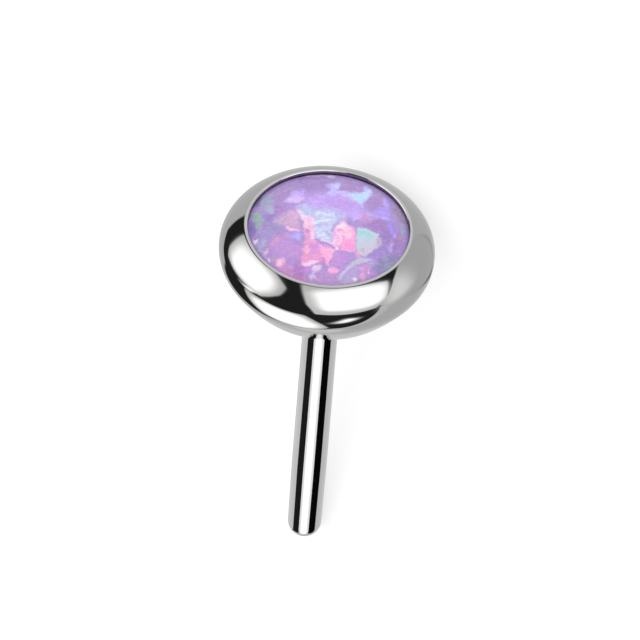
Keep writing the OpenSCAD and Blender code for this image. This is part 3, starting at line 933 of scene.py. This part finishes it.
class PIERCINGTOP_OT_opal(bpy.types.Operator):
    """Turns the opal cabochon and charts its flakes of colour"""

    bl_idname = "piercing_top.opal"
    bl_label = "Opal"

    def execute(self, context):
        sizes = sizes_of(context)
        outline = HeadOutline(sizes)
        stone_r = in_mm(sizes.stone_d) / 2
        bevel = in_mm(sizes.stone_bevel)
        rise = in_mm(sizes.dome_rise)
        edge = outline.dome_edge
        dome_r = (edge.x ** 2 + rise ** 2) / (2 * rise)
        dome_c = Vector((0, edge.y + rise - dome_r))
        dome = Arc(dome_c, dome_r, math.atan2(edge.y - dome_c.y, edge.x), math.pi / 2)
        shoulder = edge.y - (stone_r - edge.x)
        obj = start_outline("lavender_opal", (0, outline.stone_base))
        draw_lines(
            (stone_r - bevel, 0),
            (bevel, bevel),
            (0, shoulder - outline.stone_base - bevel),
            (edge.x - stone_r, edge.y - shoulder))
        draw_arc(dome, DOME_STEPS)
        turn_outline(obj, sizes.stone_turns)
        lie_down(obj, outline)
        check_place(obj, "opal_cabochon")
        studio = context.scene.piercing_top_studio
        stance = Stance(outline, studio)
        places = np.array([v.co for v in obj.data.vertices])
        colours = chart_colours(seen_in_picture(places, stance, studio))
        attribute = obj.data.color_attributes.new(name="flakes", type="FLOAT_COLOR", domain="POINT")
        attribute.data.foreach_set("color", colours.ravel())
        obj.data.materials.append(lavender_opal(stance))
        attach(obj, "root")
        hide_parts("opal_cabochon")
        return {"FINISHED"}


# What the polished metal mirrors: cards of light and dark at a great distance, as in a photographer's light
# tent. Corners are the azimuth and elevation of each corner in degrees, and run anticlockwise as seen from
# the stud. The pole is the stud's own axis on the stone's side, and azimuth 0 is the camera's side. A card is
# convex, has soft edges of so many degrees, and hangs in front of the earlier ones.
Card = namedtuple("Card", "name level soft corners")
# The room's own level, where no card hangs
ROOM_LEVEL = 0.9
CARDS = (
    Card("bench", 0.94, 8, ((150, -60), (90, -64), (30, -64), (-30, -69), (-90, -69), (-150, -62))),
    Card("bench glow", 1.25, 8, ((34, -62), (14, -60), (-20, -66), (-60, -72), (-80, -86), (40, -78))),
    Card("pale edge", 1.06, 3, (
        (16, -58), (26, -58), (38, -51), (50, -40), (58, -27), (65, -10), (58, 8), (0, 0), (0, -40))),
    Card("dark crescent", 0.03, 3, (
        (-147, 19), (-140, 9), (-133, -3), (-127, -15), (-110, -30), (-90, 0), (-90, 60), (-152, 50))),
    Card("dark left", 0.03, 3, (
        (-135, -3), (-126, -15), (-119, -38), (-100, -62), (-60, -62), (-40, 0), (-40, 66), (-100, 60))),
    Card("dark low left", 0.03, 6, (
        (-121, -31), (-129, -43), (-129, -48), (-127, -52), (-122, -56), (-113, -61), (-100, -66),
        (-60, -64), (-60, -20), (-112, -20))),
    Card("dark middle", 0.03, 3, (
        (-60, -64), (-30, -67), (-4, -63), (14, -57), (24, -50), (30, -20), (40, 40), (40, 76), (-100, 70),
        (-100, 0))),
    Card("dark under softbox", 0.03, 3, (
        (12, -55), (24, -53), (34, -46), (42, -36), (48, -24), (53, -9), (57, 6), (62, 40), (60, 76),
        (0, 70), (0, -30))),
    Card("dark right", 0.03, 2, ((40, 10), (90, 0), (118, 41), (125, 55), (90, 78), (20, 78))),
    Card("wall shade", 0.7, 3, (
        (57, 1), (80, -18), (112, -33), (150, -45), (147, -30), (143, -10), (142, 3), (142, 18), (136, 34),
        (119, 48), (101, 50), (60, 33))),
    Card("grey wall", 0.84, 3, (
        (57, 4), (80, -14.5), (112, -29), (132, -36), (136, -22), (138, -8), (139, 3), (139.5, 17),
        (134.5, 32.5), (118, 47), (101, 48), (60, 33))),
    Card("wall crease", 0.3, 2, ((112, -31.5), (150, -44), (148, -38), (128, -34.5))),
    Card("wall sheen", 1.5, 30, ((60, 2), (90, 0), (106, 24), (102, 48), (66, 34))),
    Card("gap low", 0.03, 2, ((67, 28.5), (92, 41.3), (95, 55), (70, 50))),
    Card("gap high", 0.03, 2, ((86, 40.2), (119, 44.2), (123, 52), (90, 62))),
    Card("low softbox edge", 1.2, 4, (
        (-80, -14), (-80, -60), (-40, -67), (-3, -62), (9, -52), (3, -36), (-10, -10), (-16, -2),
        (-60, -7))),
    Card("low softbox", 2.6, 12, (
        (-72, -22), (-71, -58), (-40, -64), (-7, -60), (-1, -42), (-19, -10), (-28, -8), (-58, -12))),
    Card("left softbox edge", 0.98, 4, (
        (-113, -4), (-61, 1), (-53, 20), (-49, 45), (-54, 56), (-80, 60.5), (-96, 60), (-131, 29.5),
        (-120, 10))),
    Card("left softbox", 2.6, 22, (
        (-107, 0), (-63, 5), (-58, 22), (-56, 44), (-63, 54), (-82, 58.5), (-97, 57), (-124, 29),
        (-116, 12))),
    Card("right softbox corner", 1.1, 5, (
        (-41, 66), (-26, 54), (-13, 36), (20, 60), (30, 76), (-20, 79), (-56, 73))),
    Card("right softbox edge", 1.25, 4, (
        (-7, 11), (14, 11), (54, 10), (66, 26), (84, 41), (98, 49), (86, 65), (52, 75), (-40, 70),
        (-26, 55), (-13, 32))),
    Card("right softbox", 2.6, 16, (
        (0, 27), (54, 22), (72, 33), (89, 47), (83, 62), (52, 73), (-28, 68), (-10, 50))),
    Card("small lamp glow", 0.3, 14, ((6, -29), (26, -28), (38, -12), (24, -5))),
    Card("small lamp", 2.9, 11, ((12, -26), (24, -25), (35, -12), (24, -8))),
    Card("faint streak", 0.5, 4, ((-91, -12), (-82, -12), (-76, 0), (-86, -4))),
    Card("streak", 2.2, 5, ((-84, -11), (-73, -10), (-65, 3), (-76, 0))),
    Card("lip light", 1.3, 8, ((158, 45), (170, 32), (-176, 32), (-160, 45), (-170, 59), (170, 59))),
)
# The even light on all that isn't mirrored, and the light table's own glow
EVEN_LEVEL = 1.36
TABLE_LEVEL = 0.58

# Narrow cards beside the pin, which only its own reflections show. Each one fills the pin from one place of
# its width to another, as shares of its half width, to the right of its middle.
Flag = namedtuple("Flag", "name level start end")
FLAGS = (
    Flag("pin_flag_grey", 0.96, -0.96, -0.66),
    Flag("pin_flag_black_left", 0.02, -0.66, -0.31),
    Flag("pin_flag_white_left", 1.4, -0.31, -0.2),
    Flag("pin_flag_white", 2.1, -0.2, 0.17),
    Flag("pin_flag_white_right", 1.45, 0.17, 0.285),
    Flag("pin_flag_black_right", 0.004, 0.285, 0.668),
    Flag("pin_flag_grey_right", 0.86, 0.668, 0.96),
)
# From the stud's axis to a flag, and how far off a flag is still seen
FLAG_DISTANCE_MM = 0.42
FLAG_REACH_MM = 0.65


def seen_at(azimuth, elevation):
    """Direction of a card's corner, on the stud's own axes."""
    level = math.cos(math.radians(elevation))
    return Vector((
        level * math.cos(math.radians(azimuth)),
        level * math.sin(math.radians(azimuth)),
        math.sin(math.radians(elevation))))


def light_studio(stance, strength):
    """Makes the world: reflections show the cards, and all else has one even light from all around."""
    world = bpy.data.worlds.new("studio")
    bpy.context.scene.world = world
    world.use_nodes = True
    tree = world.node_tree
    tree.nodes.clear()
    way = add_node(tree, "ShaderNodeTexCoord").outputs["Generated"]
    seen = axial_frame(tree, stance, way)
    level = ROOM_LEVEL
    for card in CARDS:
        corners = [seen_at(*corner) for corner in card.corners]
        half_soft = math.sin(math.radians(card.soft) / 2)
        cover = 1.0
        for first, second in zip(corners, corners[1:] + corners[:1]):
            side = first.cross(second).normalized()
            past_side = add_node(
                tree, "ShaderNodeVectorMath", {0: seen, 1: side}, operation="DOT_PRODUCT").outputs["Value"]
            edge = add_node(
                tree, "ShaderNodeMapRange",
                {"Value": past_side, "From Min": -half_soft, "From Max": half_soft},
                interpolation_type="SMOOTHSTEP").outputs["Result"]
            cover = add_node(
                tree, "ShaderNodeMath", {0: edge, 1: cover}, operation="MULTIPLY").outputs["Value"]
        level = add_node(
            tree, "ShaderNodeMix", {0: cover, 2: level, 3: card.level}, data_type="FLOAT").outputs[0]
    level = add_node(tree, "ShaderNodeMath", {0: level, 1: strength}, operation="MULTIPLY").outputs["Value"]
    even = add_node(tree, "ShaderNodeBackground", {"Strength": EVEN_LEVEL * strength})
    tent = add_node(tree, "ShaderNodeBackground", {"Strength": level})
    ray = add_node(tree, "ShaderNodeLightPath")
    seen_light = add_node(
        tree, "ShaderNodeMixShader",
        {0: ray.outputs["Is Glossy Ray"], 1: even.outputs["Background"], 2: tent.outputs["Background"]})
    add_node(tree, "ShaderNodeOutputWorld", {"Surface": seen_light.outputs["Shader"]})


def flag_glow(level):
    """Evenly lit or black card, which gives no light itself and shows only to what is close to it."""
    material, tree = new_material("flag_card")
    glow = add_node(tree, "ShaderNodeEmission", {"Strength": level})
    clear = add_node(tree, "ShaderNodeBsdfTransparent")
    ray = add_node(tree, "ShaderNodeLightPath")
    far = add_node(
        tree, "ShaderNodeMath", {0: ray.outputs["Ray Length"], 1: FLAG_REACH_MM * MM},
        operation="GREATER_THAN").outputs["Value"]
    shown = add_node(
        tree, "ShaderNodeMixShader", {0: far, 1: glow.outputs["Emission"], 2: clear.outputs["BSDF"]})
    add_node(tree, "ShaderNodeOutputMaterial", {"Surface": shown.outputs["Shader"]})
    material.cycles.emission_sampling = "NONE"
    return material


def hang_flag(flag, outline, stance):
    """Hangs a card beside the pin, where the camera sees it mirrored between two places of the pin's width.

    It ends too far below the flat back for that to mirror it. The head hides that end of the pin from the
    camera, but from the sides, from above and from behind the pin's reflections change there.
    """
    turns = [2 * math.asin(flag.start), 2 * math.asin(flag.end)]
    middle = sum(turns) / 2
    edges = []
    for turn in turns:
        from_middle = turn / 2 - middle
        run = (FLAG_DISTANCE_MM - outline.pin_r * math.cos(from_middle)) / math.cos(turn - middle)
        edges.append(outline.pin_r * math.sin(from_middle) + run * math.sin(turn - middle))
    out = math.cos(middle) * stance.near + math.sin(middle) * stance.across
    along = math.cos(middle) * stance.across - math.sin(middle) * stance.near
    top = outline.back - FLAG_REACH_MM
    bottom = outline.end_centre.y - 2 * FLAG_DISTANCE_MM
    bpy.ops.object.select_all(action="DESELECT")
    bpy.ops.mesh.primitive_plane_add(size=1, location=(0, 0, 0))
    card = bpy.context.active_object
    card.name = flag.name
    card.scale = ((edges[1] - edges[0]) * MM, (top - bottom) * MM, 1)
    centre = stance.lip_centre + MM * (
        FLAG_DISTANCE_MM * out + sum(edges) / 2 * along + (top + bottom) / 2 * stance.axis)
    turned = Matrix((along, stance.axis, along.cross(stance.axis))).transposed().to_4x4()
    card.matrix_world = Matrix.Translation(centre) @ turned @ Matrix.Diagonal((*card.scale, 1))
    card.visible_camera = False
    card.visible_diffuse = False
    card.visible_shadow = False
    card.visible_transmission = False
    card.data.materials.append(flag_glow(flag.level))


class PIERCINGTOP_OT_stage(bpy.types.Operator):
    """Adds the light table, the studio's light and the camera"""

    bl_idname = "piercing_top.stage"
    bl_label = "Stage"

    def execute(self, context):
        scene = context.scene
        studio = scene.piercing_top_studio
        outline = HeadOutline(sizes_of(context))
        stance = Stance(outline, studio)

        bpy.ops.object.select_all(action="DESELECT")
        bpy.ops.mesh.primitive_circle_add(
            vertices=FLOOR_SIDES, radius=FLOOR_RADIUS, fill_type="NGON", location=(0, 0, 0))
        floor = context.active_object
        floor.name = "floor"
        floor.visible_glossy = False
        floor.data.materials.append(light_table(scene.piercing_top_finish.floor, studio.light))

        light_studio(stance, studio.light)
        for flag in FLAGS:
            hang_flag(flag, outline, stance)

        pixel = studio.picture_w / PICTURE_PIXELS
        right_by = LIP_CENTRE_PIXEL[0] - PICTURE_PIXELS / 2
        up_by = PICTURE_PIXELS / 2 - LIP_CENTRE_PIXEL[1]
        target = stance.lip_centre - stance.right * right_by * pixel - stance.up * up_by * pixel
        lens = bpy.data.cameras.new("camera")
        camera = bpy.data.objects.new("camera", lens)
        scene.collection.objects.link(camera)
        turn = Matrix((stance.right, stance.up, stance.camera)).transposed().to_4x4()
        camera.matrix_world = Matrix.Translation(target + stance.camera * studio.distance) @ turn
        lens.lens = lens.sensor_width * studio.distance / studio.picture_w
        lens.clip_start = studio.distance / 100
        lens.clip_end = studio.distance * 10
        scene.camera = camera
        scene.view_settings.view_transform = "Standard"
        return {"FINISHED"}


class PIERCINGTOP_PT_panel(bpy.types.Panel):
    """Lists the pieces and their settings"""

    bl_idname = "PIERCINGTOP_PT_panel"
    bl_label = "Piercing top"
    bl_space_type = "VIEW_3D"
    bl_region_type = "UI"
    bl_category = "Piercing top"

    def draw(self, context):
        scene = context.scene
        for operator in OPERATORS:
            self.layout.operator(operator.bl_idname)
        for settings in (scene.piercing_top_sizes, scene.piercing_top_finish, scene.piercing_top_studio):
            box = self.layout.box()
            for name in settings.__annotations__:
                box.prop(settings, name)


SETTINGS = {
    "piercing_top_sizes": PiercingTopSizes,
    "piercing_top_finish": PiercingTopFinish,
    "piercing_top_studio": PiercingTopStudio,
}
OPERATORS = (PIERCINGTOP_OT_bezel, PIERCINGTOP_OT_opal, PIERCINGTOP_OT_stage)


def register():
    for cls in (*SETTINGS.values(), *OPERATORS, PIERCINGTOP_PT_panel):
        bpy.utils.register_class(cls)
    for name, group in SETTINGS.items():
        setattr(bpy.types.Scene, name, PointerProperty(type=group))


def unregister():
    for name in SETTINGS:
        delattr(bpy.types.Scene, name)
    for cls in reversed((*SETTINGS.values(), *OPERATORS, PIERCINGTOP_PT_panel)):
        bpy.utils.unregister_class(cls)


def main():
    register()
    bpy.ops.piercing_top.bezel()
    bpy.ops.piercing_top.opal()
    bpy.ops.piercing_top.stage()


if __name__ == "__main__":
    main()
